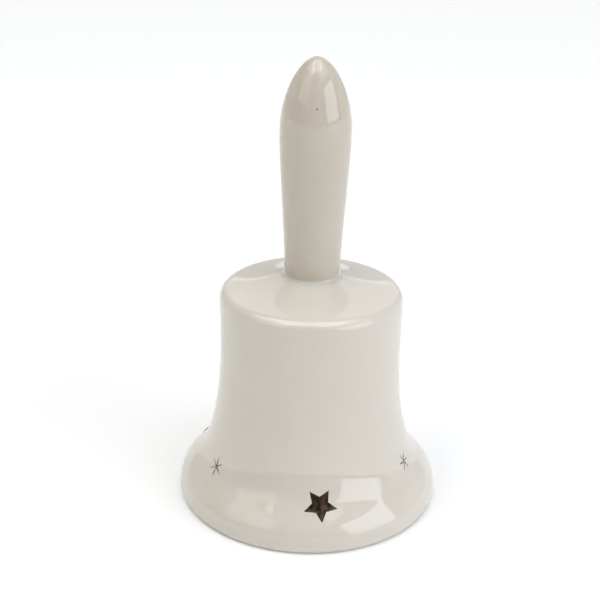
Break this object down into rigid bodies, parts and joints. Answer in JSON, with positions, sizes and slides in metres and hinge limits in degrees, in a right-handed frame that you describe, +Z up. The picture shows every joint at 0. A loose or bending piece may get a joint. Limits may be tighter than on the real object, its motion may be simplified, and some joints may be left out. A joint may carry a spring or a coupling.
{
  "type": "porcelain hand bell",
  "caption": "White glazed porcelain table bell with a flared rim, a hollow cast handle and a ball clapper hung inside on a short chain.",
  "frame": {"origin": "middle of the ring that the bell stands on, at the height of the table", "axes": "+Z up along the bell's axis from the mouth to the handle's tip; -Y is the front, where one printed star faces the viewer; +X is to the viewer's right"},
  "size_m": [0.076, 0.076, 0.1298],
  "materials": {
    "glazed_porcelain": "glossy clear glaze over a warm grey-white body",
    "ceramic_cement": "matt, trowelled",
    "aged_brass": "drawn wire, lightly tarnished",
    "bronze_lustre": "thin fired lustre of dark bronze on the glaze, shiny"
  },
  "bodies": {
    "bell": {"bell_shell": "glazed_porcelain", "handle_shell": "glazed_porcelain", "luting_ring": "glazed_porcelain", "cement_plug": "ceramic_cement", "hanger_staple": "aged_brass"},
    "link_1": {"chain_link_1": "aged_brass"},
    "link_2": {"chain_link_2": "aged_brass"},
    "link_3": {"chain_link_3": "aged_brass"},
    "link_4": {"chain_link_4": "aged_brass"},
    "link_5": {"chain_link_5": "aged_brass"},
    "clapper": {"clapper_eye_pin": "aged_brass", "bead_cap_top": "aged_brass", "clapper_ball": "glazed_porcelain", "bead_cap_bottom": "aged_brass"}
  },
  "joints": [
    {"name": "staple_to_link_1", "type": "hinge", "parent": "bell", "child": "link_1", "pos_m": [0, 0, 0.0575], "axis": [1, 0, 0], "range_deg": [-24, 24]},
    {"name": "link_1_to_link_2", "type": "hinge", "parent": "link_1", "child": "link_2", "pos_m": [0, 0, 0.05112], "axis": [0, 1, 0], "range_deg": [-24, 24]},
    {"name": "link_2_to_link_3", "type": "hinge", "parent": "link_2", "child": "link_3", "pos_m": [0, 0, 0.04464], "axis": [-1, 0, 0], "range_deg": [-24, 24]},
    {"name": "link_3_to_link_4", "type": "hinge", "parent": "link_3", "child": "link_4", "pos_m": [0, 0, 0.03816], "axis": [0, -1, 0], "range_deg": [-24, 24]},
    {"name": "link_4_to_link_5", "type": "hinge", "parent": "link_4", "child": "link_5", "pos_m": [0, 0, 0.03168], "axis": [1, 0, 0], "range_deg": [-24, 24]},
    {"name": "link_5_to_clapper", "type": "hinge", "parent": "link_5", "child": "clapper", "pos_m": [0, 0, 0.0252], "axis": [0, 1, 0], "range_deg": [-24, 24]}
  ]
}
